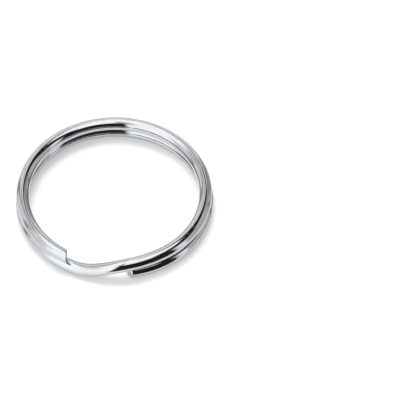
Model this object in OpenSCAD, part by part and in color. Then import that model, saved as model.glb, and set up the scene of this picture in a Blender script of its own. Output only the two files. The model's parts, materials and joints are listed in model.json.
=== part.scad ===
// Split key ring: one round spring wire wound into two close turns, the upper lying on the lower.
// A short crossover at the front steps the wire down from the upper turn to the lower one.
// Z is up, the ring lies flat on z = 0 and both turns are centred on the Z axis.
// Angles are in degrees, anticlockwise from +X as seen from above; the front is at 270.
// The wire is divided where its twist collects when an end is pried up, so each length turns
// about the wire's own axis there and the bent wire stays smooth.

/* [Wire] */
// Diameter of the wire
wire_d = 2.1; // [1:0.05:3]
// Chamfer round each cut end of the wire
end_chamfer = 0.2; // [0.05:0.01:0.3]

/* [Turns] */
// Outside diameter of the lower turn, the larger of the two
ring_d = 32; // [22:0.5:50]
// How much smaller the radius of the upper turn is
turn_step = 0.38; // [0:0.02:0.6]
// Daylight between the two turns, measured straight down
turn_gap = 0.05; // [0.03:0.01:0.3]

/* [Crossover] */
// Angle at which the wire starts to step down, going clockwise
drop_start = 283; // [276:0.5:290]
// Angle swept while the wire steps down
drop_sweep = 43; // [34:1:52]
// How far before the step down the wire starts to move outwards to the lower turn
shift_lead = 19; // [8:1:24]
// Angle swept while the wire moves outwards
shift_sweep = 40; // [30:1:50]

/* [Cut ends] */
// Angle between the lower turn's end and the start of the step down
lower_end_clear = 4.8; // [3:0.1:6.5]
// Angle between the upper turn's end and the foot of the step down
upper_end_clear = 1; // [0:0.5:30]
// How much larger the radius of the upper turn's free end is, so that it stands outwards
upper_spread = 0.29; // [0:0.01:0.4]
// How much smaller the radius of the lower turn's free end is, so that it is tucked inwards
lower_tuck = 0.25; // [0:0.01:0.4]

/* [Twist hinges] */
// Angle from a cut end back to the nearer twist hinge of its turn
near_hinge = 142; // [90:1:175]
// Angle from a cut end back to the farther twist hinge of its turn
far_hinge = 226; // [185:1:285]
// Gap between two lengths that twist against each other
butt_gap = 0.01; // [0.01:0.005:0.1]

/* [Hidden] */

// Sides of the round section and rings along the stepped crossover
section_sides = 32;
crossover_rings = 42;
// Facets of a whole turn and of the wire where they are only previewed
turn_fn = 240;
wire_fn = 64;

wire_r = wire_d / 2;
pitch = wire_d + turn_gap;
lower_r = ring_d / 2 - wire_r;
upper_r = lower_r - turn_step;
lower_z = wire_r;
upper_z = lower_z + pitch;

// The crossover runs clockwise from cross_start to cross_end
cross_start = drop_start + shift_lead;
cross_end = drop_start - drop_sweep;

// Cut ends, then twist hinges counted back from them
upper_end = cross_end - upper_end_clear;
lower_end = drop_start - lower_end_clear;
upper_near = upper_end - near_hinge;
upper_far = upper_end - far_hinge;
lower_near = lower_end + near_hinge;
lower_far = lower_end + far_hinge;

// Half the butt gap as an angle on each turn
upper_half_gap = butt_gap / 2 / upper_r * 180 / PI;
lower_half_gap = butt_gap / 2 / lower_r * 180 / PI;

function unit(v) = v / norm(v);
// Smooth step from 0 to 1 with no jump in slope or curvature
function ease(s) = let (t = min(max(s, 0), 1)) t * t * t * (10 + t * (6 * t - 15));

// Centre of the wire at the angle a of the crossover; the turns carry on beyond its ends
function cross_radius(a) = upper_r + turn_step * ease((cross_start - a) / shift_sweep);
function cross_height(a) = upper_z - pitch * ease((drop_start - a) / drop_sweep);
function cross_point(a) = [cross_radius(a) * cos(a), cross_radius(a) * sin(a), cross_height(a)];
function cross_tangent(a) =
    let (da = 0.05)
    unit(cross_point(a - da) - cross_point(a + da));

// One ring of the swept wire, square to the wire at the angle a
function section(a) =
    let (
        tangent = cross_tangent(a),
        across = unit(cross([0, 0, 1], tangent)),
        up = cross(tangent, across)
    )
    [for (i = [0:section_sides - 1])
        let (b = 360 * i / section_sides)
        cross_point(a) + wire_r * (cos(b) * across + sin(b) * up)];

// A length of a turn between two angles, anticlockwise
module turn_length(r, z, from_a, to_a) {
    translate([0, 0, z])
        rotate_extrude(angle = to_a - from_a, start = from_a, $fn = turn_fn)
            translate([r, 0])
                circle(d = wire_d, $fn = wire_fn);
}

// A length from its twist hinge to its cut, bent to a radius that is larger by spread than its turn's.
// Its centre moves back by as much, so that it leaves the hinge in line with the turn.
// It is drawn with its cut end on +X; way is 1 where the cut faces anticlockwise, -1 where clockwise.
module cut_length(turn_r, spread, z, hinge_a, cut_a, sweep, way) {
    r = turn_r + spread;
    chamfer_a = end_chamfer / r * 180 / PI;
    translate([-spread * cos(hinge_a), -spread * sin(hinge_a), 0])
        rotate([0, 0, cut_a - way * chamfer_a]) {
            turn_length(r, z, way > 0 ? chamfer_a - sweep : 0, way > 0 ? 0 : sweep - chamfer_a);
            translate([r, 0, z])
                rotate([-90 * way, 0, 0])
                    cylinder(h = end_chamfer, r1 = wire_r, r2 = wire_r - end_chamfer, $fn = wire_fn);
        }
}

module upper_tip() {
    color("silver")
        cut_length(upper_r, upper_spread, upper_z, upper_near, upper_end,
                   near_hinge - upper_half_gap, 1);
}

module upper_back() {
    color("silver")
        turn_length(upper_r, upper_z, upper_far + upper_half_gap, upper_near - upper_half_gap);
}

module upper_front() {
    color("silver")
        turn_length(upper_r, upper_z, cross_start - 360, upper_far - upper_half_gap);
}

module crossover() {
    n = section_sides;
    last = crossover_rings - 1;
    points = [for (k = [0:last]) each section(cross_start + (cross_end - cross_start) * k / last)];
    sides = [for (k = [0:last - 1], i = [0:n - 1])
        let (a = k * n + i, b = k * n + (i + 1) % n)
        each [[a, b, b + n], [a, b + n, a + n]]];
    start_face = [for (i = [n - 1:-1:0]) i];
    end_face = [for (i = [0:n - 1]) last * n + i];
    color("silver")
        polyhedron(points, concat(sides, [start_face, end_face]), convexity = 4);
}

module lower_left() {
    color("silver")
        turn_length(lower_r, lower_z, lower_far - 360 + lower_half_gap, cross_end);
}

module lower_back() {
    color("silver")
        turn_length(lower_r, lower_z, lower_near + lower_half_gap, lower_far - lower_half_gap);
}

module lower_tip() {
    color("silver")
        cut_length(lower_r, -lower_tuck, lower_z, lower_near, lower_end,
                   near_hinge - lower_half_gap, -1);
}

upper_tip();
upper_back();
upper_front();
crossover();
lower_left();
lower_back();
lower_tip();
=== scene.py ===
import json
import math

import bpy
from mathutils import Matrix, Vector


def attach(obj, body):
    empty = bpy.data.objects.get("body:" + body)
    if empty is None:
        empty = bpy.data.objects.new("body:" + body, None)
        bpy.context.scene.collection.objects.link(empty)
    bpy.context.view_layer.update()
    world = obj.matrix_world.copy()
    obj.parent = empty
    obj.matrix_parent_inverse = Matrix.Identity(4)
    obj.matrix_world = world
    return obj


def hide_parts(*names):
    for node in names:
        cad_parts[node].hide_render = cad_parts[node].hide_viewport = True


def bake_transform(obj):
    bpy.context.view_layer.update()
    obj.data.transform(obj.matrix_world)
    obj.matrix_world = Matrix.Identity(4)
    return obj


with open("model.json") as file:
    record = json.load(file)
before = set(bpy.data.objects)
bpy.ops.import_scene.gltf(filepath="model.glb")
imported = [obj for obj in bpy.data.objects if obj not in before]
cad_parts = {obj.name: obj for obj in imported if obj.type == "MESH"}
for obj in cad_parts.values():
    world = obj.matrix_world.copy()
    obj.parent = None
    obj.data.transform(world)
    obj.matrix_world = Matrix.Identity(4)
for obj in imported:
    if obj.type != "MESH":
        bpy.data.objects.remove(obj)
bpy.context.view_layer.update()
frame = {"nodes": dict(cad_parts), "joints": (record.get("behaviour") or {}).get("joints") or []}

# Split key ring: one round wire wound twice, stepped down at the front, bright plated.
# Places along the wire are given in degrees of winding, clockwise from the upper cut end.

mm = 0.001
joints = {joint["name"]: joint for joint in frame["joints"]}
print("frame loaded,", len(frame["nodes"]), "lengths of wire")


# Sizes

def hingeAngle(name):
    x, y, _ = joints[name]["pos_m"]
    return math.degrees(math.atan2(y, x))


def hingeRadius(name):
    x, y, _ = joints[name]["pos_m"]
    return math.hypot(x, y)


upper = {"radius": hingeRadius("upper_near_twist"), "height": joints["upper_near_twist"]["pos_m"][2]}
lower = {"radius": hingeRadius("lower_near_twist"), "height": joints["lower_near_twist"]["pos_m"][2]}

wire = {
    "radius": lower["height"],      # the lower turn lies on the floor
    "sides": 64,
    "ringStep": 0.5,                # degrees of winding between rings
    "waviness": 0.006 * mm,         # how far coiling leaves the surface out of true
    "wavinessSize": 1.3 * mm,
    "smoothUnder": 35,              # degrees between faces that still shade as one surface
}

# The step from the upper turn down to the lower, in the part's own terms
crossover = {
    "dropStart": 283,
    "dropSweep": 43,
    "shiftLead": 19,                # degrees the sideways move starts before the drop
    "shiftSweep": 40,
    "ringStep": 0.5,
}

cutEnd = {
    "lowerClear": 4.8,              # degrees from the lower cut to the start of the step
    "upperClear": 1.0,              # degrees from the foot of the step to the upper cut
    "upperSpread": 0.29 * mm,       # the free ends bend to a wider and a tighter radius
    "lowerTuck": 0.25 * mm,
    "stub": 1.25 * mm,              # last bit, room for the slanting cut and its rim
    "upperSlant": 29,               # degrees the cuts lean, seen from above
    "lowerSlant": 22,
    "rimRound": 0.3 * mm,
    "rimSegments": 6,
    "platedRim": 0.1,               # share of the rim that keeps its plating
}

upperCut = crossover["dropStart"] - crossover["dropSweep"] - cutEnd["upperClear"]
lowerCut = crossover["dropStart"] - cutEnd["lowerClear"]
wireEnd = upperCut - lowerCut + 720

# Where the wire twists, as winding from the upper cut
twists = {
    "upper_near_twist": upperCut - hingeAngle("upper_near_twist"),
    "upper_far_twist": upperCut - hingeAngle("upper_far_twist"),
    "lower_far_twist": upperCut - hingeAngle("lower_far_twist") + 360,
    "lower_near_twist": upperCut - hingeAngle("lower_near_twist") + 360,
}

stepFrom = upperCut - crossover["dropStart"] - crossover["shiftLead"] + 360
stepTo = stepFrom + crossover["shiftLead"] + crossover["dropSweep"]


def besideHinge(name, away):
    a = math.radians(hingeAngle(name))
    return Vector((away * math.cos(a), away * math.sin(a), 0))


# Each stretch is an arc about its own middle; the step has none
stretches = [
    {"start": 0, "end": twists["upper_near_twist"],
     "middle": besideHinge("upper_near_twist", -cutEnd["upperSpread"])},
    {"start": twists["upper_near_twist"], "end": stepFrom, "middle": Vector()},
    {"start": stepFrom, "end": stepTo, "middle": None},
    {"start": stepTo, "end": twists["lower_near_twist"], "middle": Vector()},
    {"start": twists["lower_near_twist"], "end": wireEnd,
     "middle": besideHinge("lower_near_twist", cutEnd["lowerTuck"])},
]


# The line of the wire

def ease(share):
    t = min(max(share, 0), 1)
    return t * t * t * (10 + t * (6 * t - 15))


def wireCentre(winding):
    a = math.radians(upperCut - winding)
    radius, height = upper["radius"], upper["height"]
    middle = Vector()
    if winding < stretches[0]["end"]:
        radius += cutEnd["upperSpread"]
        middle = stretches[0]["middle"]
    elif winding > stretches[-1]["start"]:
        radius, height = lower["radius"] - cutEnd["lowerTuck"], lower["height"]
        middle = stretches[-1]["middle"]
    else:
        into = winding - stepFrom
        radius += (lower["radius"] - radius) * ease(into / crossover["shiftSweep"])
        height += (lower["height"] - height) * ease((into - crossover["shiftLead"]) / crossover["dropSweep"])
    return middle + Vector((radius * math.cos(a), radius * math.sin(a), height))


def wireHeading(winding):
    # compass turn and slope of the wire, both in radians
    way = wireCentre(winding + 0.01) - wireCentre(winding - 0.01)
    return math.atan2(way.y, way.x), math.atan2(way.z, way.to_2d().length)


# Modelling helpers

def pickNothing():
    if bpy.context.object and bpy.context.object.mode == "EDIT":
        bpy.ops.object.mode_set(mode="OBJECT")
    bpy.ops.object.select_all(action="DESELECT")


def selectRing(piece, centre):
    # the vertices of the one ring whose middle is at centre
    bpy.ops.mesh.select_mode(type="VERT")
    bpy.ops.mesh.select_all(action="DESELECT")
    bpy.ops.mesh.select_non_manifold(extend=False)
    bpy.ops.object.mode_set(mode="OBJECT")
    reach = wire["radius"] * 1.25       # a leaning cut is wider than the wire
    for v in piece.data.vertices:
        v.select = v.select and (v.co - centre).length < reach
    for e in piece.data.edges:
        e.select = all(piece.data.vertices[i].select for i in e.vertices)
    bpy.ops.object.mode_set(mode="EDIT")
    bpy.ops.mesh.select_mode(type="EDGE")


def turnSelected(angle, axis, centre):
    # anticlockwise; the operator turns the other way with no window
    bpy.ops.transform.rotate(value=-angle, orient_axis=axis, center_override=centre)


def spinWire(sweep, middle, count):
    # carries the selected ring clockwise
    bpy.ops.mesh.spin(steps=count, angle=math.radians(sweep), center=middle, axis=(0, 0, 1))


def stepWire(start, end):
    # carries the selected ring down the crossover, keeping it square to the wire
    count = round((end - start) / crossover["ringStep"])
    heading, slope = wireHeading(start)
    for k in range(count):
        was = wireCentre(start + (end - start) * k / count)
        here = wireCentre(start + (end - start) * (k + 1) / count)
        newHeading, newSlope = wireHeading(start + (end - start) * (k + 1) / count)
        bpy.ops.mesh.extrude_edges_move(TRANSFORM_OT_translate={"value": here - was})
        turnSelected(-heading, "Z", here)
        turnSelected(slope - newSlope, "Y", here)
        turnSelected(newHeading, "Z", here)
        heading, slope = newHeading, newSlope


def cutOff(piece, before, at, slant):
    # draws the open end out to the cut and leans its ring over
    was, here = wireCentre(before), wireCentre(at)
    selectRing(piece, was)
    bpy.ops.mesh.extrude_edges_move(TRANSFORM_OT_translate={"value": here - was})
    turnSelected(-wireHeading(before)[0], "Z", here)
    bpy.ops.transform.resize(value=(1, 1 / math.cos(math.radians(slant)), 1), center_override=here)
    turnSelected(wireHeading(at)[0] + math.radians(slant), "Z", here)


def closeRing(piece, centre):
    selectRing(piece, centre)
    bpy.ops.mesh.edge_face_add()


def shapeCutEnd(piece, centre):
    # flat sheared face with a rounded rim
    closeRing(piece, centre)
    bpy.ops.mesh.bevel(offset=cutEnd["rimRound"], segments=cutEnd["rimSegments"], profile=0.5,
                       affect="EDGES")


def windWire(name, start, end):
    stub = math.degrees(cutEnd["stub"] / lower["radius"])
    first = start + stub if start == 0 else start
    last = end - stub if end == wireEnd else end
    pickNothing()
    bpy.ops.mesh.primitive_circle_add(vertices=wire["sides"], radius=wire["radius"],
                                      fill_type="NOTHING", location=wireCentre(first),
                                      rotation=(math.pi / 2, 0, math.radians(upperCut - first)))
    piece = bpy.context.object
    piece.name = piece.data.name = name
    bpy.ops.object.transform_apply(location=True, rotation=True, scale=True)
    bpy.ops.object.mode_set(mode="EDIT")
    bpy.ops.mesh.select_all(action="SELECT")
    for stretch in stretches:
        place, stop = max(first, stretch["start"]), min(last, stretch["end"])
        if place >= stop:
            continue
        if stretch["middle"] is None:
            stepWire(place, stop)
        else:
            spinWire(stop - place, stretch["middle"], max(1, round((stop - place) / wire["ringStep"])))
    if first > start:
        cutOff(piece, first, start, cutEnd["upperSlant"])
    if last < end:
        cutOff(piece, last, end, cutEnd["lowerSlant"])
    return piece


def waverSurface(piece):
    # true unevenness left by drawing and coiling
    bpy.ops.object.mode_set(mode="OBJECT")
    cloud = bpy.data.textures.get("wireWaviness") or bpy.data.textures.new("wireWaviness", "CLOUDS")
    cloud.noise_scale = wire["wavinessSize"]
    bpy.ops.object.modifier_add(type="DISPLACE")
    waver = piece.modifiers[-1]
    waver.texture = cloud
    waver.strength = wire["waviness"]
    bpy.ops.object.modifier_apply(modifier=waver.name)
    bpy.ops.object.mode_set(mode="EDIT")


def finishWire(piece, start, end):
    for place in (start, end):
        if place in (0, wireEnd):
            shapeCutEnd(piece, wireCentre(place))
        else:
            closeRing(piece, wireCentre(place))
    bpy.ops.mesh.select_all(action="SELECT")
    bpy.ops.mesh.normals_make_consistent(inside=False)
    bpy.ops.object.mode_set(mode="OBJECT")
    bpy.ops.object.shade_smooth_by_angle(angle=math.radians(wire["smoothUnder"]))


def markAlongWire(piece, start):
    # the wire pulled straight: along it, and the two ways across it
    piece.data.attributes.new("straightWire", "FLOAT_VECTOR", "POINT")
    piece.data.attributes.new("cutFace", "FLOAT", "POINT")
    mark, cut = piece.data.attributes["straightWire"], piece.data.attributes["cutFace"]
    margin = 5                      # degrees, room for a cut that leans back past the start
    for v in piece.data.vertices:
        winding = upperCut - math.degrees(math.atan2(v.co.y, v.co.x))
        winding = start - margin + (winding - start + margin) % 360
        for _ in range(2):
            heading, slope = wireHeading(winding)
            way = Vector((math.cos(heading), math.sin(heading), math.tan(slope)))
            along = (v.co - wireCentre(winding)).dot(way)
            winding += math.degrees(along / lower["radius"])
        offset = v.co - wireCentre(winding)
        out = Vector((-math.sin(heading), math.cos(heading), 0))
        mark.data[v.index].vector = (math.radians(winding) * lower["radius"], offset.dot(out), offset.z)
        inset = (wire["radius"] - offset.length) / cutEnd["rimRound"]
        cut.data[v.index].value = min(max(inset - cutEnd["platedRim"], 0), 1)


# Finish

def addNode(tree, kind, place, **settings):
    node = tree.nodes.new(kind)
    node.location = place
    for key, value in settings.items():
        setattr(node, key, value)
    return node


nickel = {
    "bright": (0.55, 0.565, 0.58, 1),
    "dull": (0.5, 0.51, 0.525, 1),
    "cut": (0.40, 0.40, 0.405, 1),
    "roughness": 0.03,
    "drawnRoughness": 0.07,
    "dullRoughness": 0.04,          # this and the next two are added to the rest
    "rubRoughness": 0.16,
    "cutRoughness": 0.2,
    "drawnDepth": 0.002 * mm,       # how deep each kind of mark is
    "grainDepth": 0.0004 * mm,
    "rubDepth": 0.0008 * mm,
    "shearDepth": 0.02 * mm,
}


def brightNickel():
    material = bpy.data.materials.new("brightNickel")
    material.use_nodes = True
    tree = material.node_tree
    shader = tree.nodes["Principled BSDF"]
    shader.inputs["Metallic"].default_value = 1.0

    straight = addNode(tree, "ShaderNodeAttribute", (-1700, 0), attribute_name="straightWire")

    def noise(lengthwise, across, at, detail=2.0, distortion=0.0):
        # marks counted per metre along the wire and across it
        size = addNode(tree, "ShaderNodeVectorMath", (at[0] - 200, at[1]), operation="MULTIPLY")
        size.inputs[1].default_value = (lengthwise, across, across)
        tree.links.new(straight.outputs["Vector"], size.inputs[0])
        node = addNode(tree, "ShaderNodeTexNoise", at)
        node.inputs["Scale"].default_value = 1.0
        node.inputs["Detail"].default_value = detail
        node.inputs["Distortion"].default_value = distortion
        tree.links.new(size.outputs[0], node.inputs["Vector"])
        return node

    def spread(source, low, high, to, at):
        node = addNode(tree, "ShaderNodeMapRange", at)
        node.inputs["From Min"].default_value = low
        node.inputs["From Max"].default_value = high
        node.inputs["To Min"].default_value = to[0]
        node.inputs["To Max"].default_value = to[1]
        tree.links.new(source, node.inputs["Value"])
        return node.outputs[0]

    def combine(kind, a, b, at):
        node = addNode(tree, "ShaderNodeMath", at, operation=kind)
        tree.links.new(a, node.inputs[0])
        tree.links.new(b, node.inputs[1])
        return node.outputs[0]

    def blendColour(share, a, b, at):
        node = addNode(tree, "ShaderNodeMix", at, data_type="RGBA")
        tree.links.new(share, node.inputs[0])
        for value, socket in ((a, node.inputs[6]), (b, node.inputs[7])):
            if isinstance(value, tuple):
                socket.default_value = value
            else:
                tree.links.new(value, socket)
        return node.outputs[2]

    drawn = noise(70, 4200, (-1200, 300), detail=3.0).outputs[0]       # lines left by the drawing die
    fine = noise(260, 19000, (-1200, 100), detail=2.0).outputs[0]
    patches = noise(450, 900, (-1200, -100), detail=3.0).outputs[0]    # plating a little dull in places
    rubs = noise(9000, 1300, (-1200, -300), detail=1.0, distortion=0.6).outputs[0]
    grain = noise(16000, 16000, (-1200, -500), detail=2.0).outputs[0]
    shear = noise(500, 1500, (-1200, -700), detail=2.0).outputs[0]     # torn steel on the cut ends
    cut = addNode(tree, "ShaderNodeAttribute", (-1200, -900), attribute_name="cutFace").outputs["Fac"]

    # rubbed where keys ride, on the top and bottom of the wire
    sides = addNode(tree, "ShaderNodeSeparateXYZ", (-1000, -1000))
    tree.links.new(straight.outputs["Vector"], sides.inputs[0])
    flank = addNode(tree, "ShaderNodeMath", (-800, -1000), operation="ABSOLUTE")
    tree.links.new(sides.outputs["Z"], flank.inputs[0])
    crown = spread(flank.outputs[0], 0.55 * wire["radius"], wire["radius"], (0.15, 1.0), (-600, -1000))
    rubbed = combine("MULTIPLY", spread(rubs, 0.6, 0.7, (0, 1), (-800, -300)), crown, (-400, -300))

    dullness = spread(patches, 0.4, 0.72, (0, 1), (-800, -100))
    plated = blendColour(dullness, nickel["bright"], nickel["dull"], (-400, 300))
    tree.links.new(blendColour(cut, plated, nickel["cut"], (-200, 300)), shader.inputs["Base Color"])

    drawnRough = spread(drawn, 0.35, 0.7, (nickel["roughness"], nickel["drawnRoughness"]), (-800, 300))
    dullRough = spread(dullness, 0, 1, (0, nickel["dullRoughness"]), (-600, -100))
    rough = combine("ADD", drawnRough, dullRough, (-400, 100))
    rubRough = spread(rubbed, 0, 1, (0, nickel["rubRoughness"]), (-200, -300))
    rough = combine("ADD", rough, rubRough, (-200, 100))
    cutRough = spread(cut, 0, 1, (0, nickel["cutRoughness"]), (-200, -500))
    rough = combine("ADD", rough, cutRough, (0, 100))
    tree.links.new(rough, shader.inputs["Roughness"])

    def bump(height, depth, at, under=None):
        node = addNode(tree, "ShaderNodeBump", at)
        node.inputs["Distance"].default_value = depth
        tree.links.new(height, node.inputs["Height"])
        if under:
            tree.links.new(under, node.inputs["Normal"])
        return node.outputs[0]

    lines = combine("ADD", drawn, spread(fine, 0, 1, (0, 0.12), (-800, 100)), (-600, 200))
    surface = bump(lines, nickel["drawnDepth"], (-200, -700))
    surface = bump(grain, nickel["grainDepth"], (0, -700), surface)
    surface = bump(combine("MULTIPLY", rubbed, grain, (0, -500)), nickel["rubDepth"], (200, -700), surface)
    surface = bump(combine("MULTIPLY", shear, cut, (200, -900)), nickel["shearDepth"], (400, -700), surface)
    tree.links.new(surface, shader.inputs["Normal"])
    return material


# Wire pieces, from the upper cut to the lower

halfBend = 42                       # degrees each side of a twist that a bending piece covers
plating = brightNickel()
joinPlaces = {
    "tipUpper": (0, twists["upper_near_twist"] - halfBend),
    "bendUpperNear": (twists["upper_near_twist"] - halfBend, twists["upper_near_twist"] + halfBend),
    "bendUpperFar": (twists["upper_near_twist"] + halfBend, twists["upper_far_twist"] + halfBend),
    "stepDown": (twists["upper_far_twist"] + halfBend, twists["lower_far_twist"] - halfBend),
    "bendLowerFar": (twists["lower_far_twist"] - halfBend, twists["lower_near_twist"] - halfBend),
    "bendLowerNear": (twists["lower_near_twist"] - halfBend, twists["lower_near_twist"] + halfBend),
    "tipLower": (twists["lower_near_twist"] + halfBend, wireEnd),
}
pieces = {}
for name, (start, end) in joinPlaces.items():
    piece = windWire(name, start, end)
    waverSurface(piece)
    finishWire(piece, start, end)
    markAlongWire(piece, start)
    piece.data.materials.append(plating)
    pieces[name] = piece
    print("wound", name, len(piece.data.vertices), "vertices")


# Motion


def bendAt(piece):
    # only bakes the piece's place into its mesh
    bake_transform(piece)


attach(pieces["tipUpper"], "upper_tip_wire")
bendAt(pieces["bendUpperNear"])
bendAt(pieces["bendUpperFar"])
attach(pieces["stepDown"], "crossover_wire")
bendAt(pieces["bendLowerFar"])
bendAt(pieces["bendLowerNear"])
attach(pieces["tipLower"], "lower_tip_wire")

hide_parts("upper_tip")
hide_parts("upper_back")
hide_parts("upper_front", "crossover", "lower_left")
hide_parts("lower_back")
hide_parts("lower_tip")


# Studio

studio = {
    "floorSize": 6.0,
    "floorColour": (0.52, 0.52, 0.52, 1),
    "floorRoughness": 0.9,
    "floorGlow": 0.38,              # the paper lies on a light table
    "tent": 2.05,
    "keyPower": 7.5,
    "keySize": 0.42,
    "keyTurn": 107,
    "keyRise": 76,
}

paperSheen = {
    "height": 0.01 * mm,
    "begins": 0.46,                 # how edge-on the paper is where its sheen begins and is full
    "full": 0.62,
    "colour": (0.9, 0.9, 0.9, 1),
    "roughness": 0.15,
}

# What stands round the tent: turn 0 is to the right and 90 is away, rise is above the floor, in degrees
cards = [
    {"turn": 94, "half": 32, "low": -26, "high": 50, "soft": 6, "brightness": 1.3},
    {"turn": 160, "half": 38, "low": -5, "high": 50, "soft": 14, "brightness": 1.3},
    {"turn": 128, "half": 30, "low": 45, "high": 58, "soft": 6, "brightness": 0.8},
    {"turn": 136, "half": 5, "low": -12, "high": 44, "soft": 6, "brightness": 0.55},
    {"turn": 169, "half": 4, "low": -6, "high": 32, "soft": 6, "brightness": 0.6},
    {"turn": 255, "half": 14, "low": 48, "high": 84, "soft": 14, "brightness": 0.75},
    {"turn": 20, "half": 44, "low": -34, "high": 46, "soft": 6, "brightness": 0.85},
    {"turn": 49, "half": 11, "low": 4, "high": 46, "soft": 8, "brightness": 0.5},
    {"turn": 29, "half": 2, "low": -20, "high": 30, "soft": 3, "brightness": 0.4},
    {"turn": -18, "half": 5, "low": -14, "high": 33, "soft": 4, "brightness": 1.6},
    {"turn": 28, "half": 58, "low": 46, "high": 63, "soft": 3, "brightness": 0.02},
    {"turn": -8, "half": 24, "low": 37, "high": 62, "soft": 4, "brightness": 0.03},
    {"turn": 80, "half": 9, "low": 43, "high": 55, "soft": 3, "brightness": 0.05},
    {"turn": -65, "half": 39, "low": -26, "high": 54, "soft": 8, "brightness": 0.025},
]


def layFloor():
    pickNothing()
    bpy.ops.mesh.primitive_plane_add(size=studio["floorSize"], location=(0, 0, 0))
    floor = bpy.context.object
    floor.name = "floor"
    paper = bpy.data.materials.new("whitePaper")
    paper.use_nodes = True
    shader = paper.node_tree.nodes["Principled BSDF"]
    shader.inputs["Base Color"].default_value = studio["floorColour"]
    shader.inputs["Roughness"].default_value = studio["floorRoughness"]
    shader.inputs["Specular IOR Level"].default_value = 0.0
    shader.inputs["Emission Color"].default_value = (1, 1, 1, 1)
    shader.inputs["Emission Strength"].default_value = studio["floorGlow"]
    floor.data.materials.append(paper)

    # the paper's sheen at a grazing angle, which only the metal picks up
    pickNothing()
    bpy.ops.mesh.primitive_plane_add(size=studio["floorSize"], location=(0, 0, paperSheen["height"]))
    sheen = bpy.context.object
    sheen.name = "floorSheen"
    sheen.visible_camera = sheen.visible_diffuse = sheen.visible_shadow = False
    sheen.visible_transmission = sheen.visible_volume_scatter = False
    gloss = bpy.data.materials.new("paperSheen")
    gloss.use_nodes = True
    tree = gloss.node_tree
    tree.nodes.clear()
    angle = addNode(tree, "ShaderNodeLayerWeight", (-600, 0))
    grazing = addNode(tree, "ShaderNodeMapRange", (-400, 0), interpolation_type="SMOOTHSTEP")
    grazing.inputs["From Min"].default_value = paperSheen["begins"]
    grazing.inputs["From Max"].default_value = paperSheen["full"]
    tree.links.new(angle.outputs["Facing"], grazing.inputs["Value"])
    clear = addNode(tree, "ShaderNodeBsdfTransparent", (-400, -200))
    mirror = addNode(tree, "ShaderNodeBsdfAnisotropic", (-400, -300))
    mirror.inputs["Color"].default_value = paperSheen["colour"]
    mirror.inputs["Roughness"].default_value = paperSheen["roughness"]
    mix = addNode(tree, "ShaderNodeMixShader", (-100, 0))
    tree.links.new(grazing.outputs[0], mix.inputs[0])
    tree.links.new(clear.outputs[0], mix.inputs[1])
    tree.links.new(mirror.outputs[0], mix.inputs[2])
    out = addNode(tree, "ShaderNodeOutputMaterial", (100, 0))
    tree.links.new(mix.outputs[0], out.inputs["Surface"])
    sheen.data.materials.append(gloss)


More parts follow.
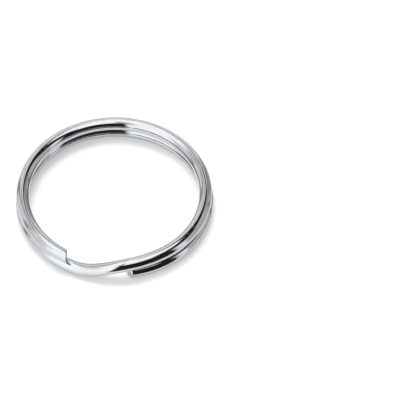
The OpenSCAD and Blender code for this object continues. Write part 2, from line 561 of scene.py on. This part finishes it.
def hangTent():
    world = bpy.data.worlds.new("whiteTent")
    bpy.context.scene.world = world
    world.use_nodes = True
    tree = world.node_tree
    tree.nodes.clear()

    def calc(kind, a, b, at):
        node = addNode(tree, "ShaderNodeMath", at, operation=kind)
        for value, socket in ((a, node.inputs[0]), (b, node.inputs[1])):
            if isinstance(value, (int, float)):
                socket.default_value = value
            elif value is not None:
                tree.links.new(value, socket)
        return node.outputs[0]

    def edge(source, low, high, at):
        # rises from 0 at low to 1 at high, or falls where low is the larger
        node = addNode(tree, "ShaderNodeMapRange", at, interpolation_type="SMOOTHSTEP")
        node.inputs["From Min"].default_value = min(low, high)
        node.inputs["From Max"].default_value = max(low, high)
        node.inputs["To Min"].default_value = 0 if low < high else 1
        node.inputs["To Max"].default_value = 1 if low < high else 0
        tree.links.new(source, node.inputs["Value"])
        return node.outputs[0]

    coord = addNode(tree, "ShaderNodeTexCoord", (-1600, 0))
    split = addNode(tree, "ShaderNodeSeparateXYZ", (-1400, 0))
    tree.links.new(coord.outputs["Generated"], split.inputs[0])
    turn = calc("ARCTAN2", split.outputs["Y"], split.outputs["X"], (-1200, 100))
    turn = calc("DEGREES", turn, None, (-1000, 100))
    rise = calc("ARCSINE", split.outputs["Z"], None, (-1200, -100))
    rise = calc("DEGREES", rise, None, (-1000, -100))

    light = studio["tent"]
    for k, card in enumerate(cards):
        x, y, soft = -600 + 250 * k, 400 - 150 * k, card["soft"]
        apart = addNode(tree, "ShaderNodeMath", (x - 200, y), operation="WRAP")
        tree.links.new(calc("SUBTRACT", turn, card["turn"], (x - 400, y)), apart.inputs[0])
        apart.inputs[1].default_value = 180
        apart.inputs[2].default_value = -180
        beside = calc("ABSOLUTE", apart.outputs[0], None, (x, y))
        inside = edge(beside, card["half"] + soft / 2, card["half"] - soft / 2, (x, y - 100))
        above = edge(rise, card["low"] - soft / 2, card["low"] + soft / 2, (x, y - 300))
        below = edge(rise, card["high"] + soft / 2, card["high"] - soft / 2, (x, y - 500))
        mask = calc("MULTIPLY", calc("MULTIPLY", inside, above, (x, y - 700)), below, (x + 150, y - 700))
        node = addNode(tree, "ShaderNodeMix", (x + 200, 700), data_type="FLOAT")
        tree.links.new(mask, node.inputs[0])
        if isinstance(light, float):
            node.inputs[2].default_value = light
        else:
            tree.links.new(light, node.inputs[2])
        node.inputs[3].default_value = card["brightness"]
        light = node.outputs[0]

    tent = addNode(tree, "ShaderNodeBackground", (900, 100))
    tree.links.new(light, tent.inputs["Strength"])
    backdrop = addNode(tree, "ShaderNodeBackground", (900, -100))
    backdrop.inputs["Color"].default_value = (1, 1, 1, 1)
    rays = addNode(tree, "ShaderNodeLightPath", (900, 400))
    pick = addNode(tree, "ShaderNodeMixShader", (1100, 0))
    tree.links.new(rays.outputs["Is Camera Ray"], pick.inputs[0])
    tree.links.new(tent.outputs[0], pick.inputs[1])
    tree.links.new(backdrop.outputs[0], pick.inputs[2])
    out = addNode(tree, "ShaderNodeOutputWorld", (1300, 0))
    tree.links.new(pick.outputs[0], out.inputs["Surface"])


def hangKeyLight():
    turn, rise = math.radians(studio["keyTurn"]), math.radians(studio["keyRise"])
    away = Vector((math.cos(rise) * math.cos(turn), math.cos(rise) * math.sin(turn), math.sin(rise)))
    pickNothing()
    bpy.ops.object.light_add(type="AREA", location=away, rotation=away.to_track_quat("Z", "Y").to_euler())
    lamp = bpy.context.object
    lamp.name = "keyLight"
    lamp.data.size = studio["keySize"]
    lamp.data.energy = studio["keyPower"]
    lamp.visible_glossy = False
    lamp.visible_camera = False


layFloor()
hangTent()
hangKeyLight()

view = {
    "elevation": 51.0,
    "distance": 2.0,
    "lens": 1117.5,
    "lookAt": Vector((13.68 * mm, 1.26 * mm, 0)),
    "clipEnd": 50,
}


def placeCamera():
    cameraData = bpy.data.cameras.new("camera")
    cameraData.lens = view["lens"]
    cameraData.clip_end = view["clipEnd"]
    camera = bpy.data.objects.new("camera", cameraData)
    bpy.context.scene.collection.objects.link(camera)
    e = math.radians(view["elevation"])
    back = Vector((0, -math.cos(e), math.sin(e)))
    camera.location = view["lookAt"] + back * view["distance"]
    camera.rotation_euler = (math.pi / 2 - e, 0, 0)
    bpy.context.scene.camera = camera


placeCamera()
bpy.context.scene.view_settings.view_transform = "Standard"
print("studio set")
